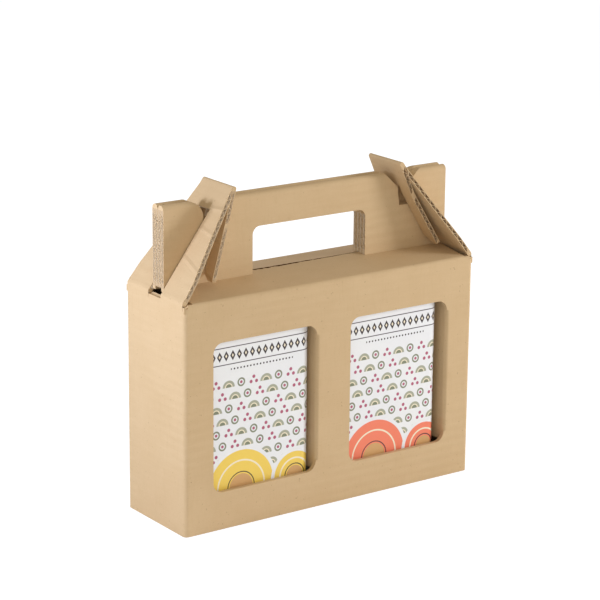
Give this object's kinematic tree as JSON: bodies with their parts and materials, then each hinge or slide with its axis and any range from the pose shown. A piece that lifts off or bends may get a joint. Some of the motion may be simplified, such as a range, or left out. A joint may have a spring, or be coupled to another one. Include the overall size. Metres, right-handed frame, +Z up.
{
  "type": "windowed corrugated carrier box for two oil tins",
  "caption": "Corrugated board carrier with a doubled hand-hole panel, slotted lock flaps at both ends, and cut windows that show the two white oil tins standing inside",
  "frame": {"origin": "on the ground, in the middle of the box", "axes": "+X along the box to the right as seen from the windows, +Y from the windows to the back, +Z up"},
  "size_m": [0.23, 0.069, 0.219],
  "materials": {
    "kraft_board": "natural brown kraft liner, matt, with small dark fibres",
    "kraft_board_left_flap": "natural brown kraft liner, matt, with small dark fibres",
    "kraft_board_right_flap": "natural brown kraft liner, matt, with small dark fibres",
    "white_tin_left": "white lacquered tinplate with a printed front",
    "white_tin_right": "white lacquered tinplate with a printed front"
  },
  "bodies": {
    "box": {"carton": "kraft_board", "tin_left": "white_tin_left", "tin_right": "white_tin_right"},
    "left_flap": {"end_flap_left": "kraft_board_left_flap"},
    "right_flap": {"end_flap_right": "kraft_board_right_flap"}
  },
  "joints": [
    {"name": "left_flap_crease", "type": "hinge", "parent": "box", "child": "left_flap", "pos_m": [-0.1135, 0, 0.1532], "axis": [0, -1, 0], "range_deg": [0, 120]},
    {"name": "right_flap_crease", "type": "hinge", "parent": "box", "child": "right_flap", "pos_m": [0.1135, 0, 0.1532], "axis": [0, 1, 0], "range_deg": [0, 120]}
  ]
}
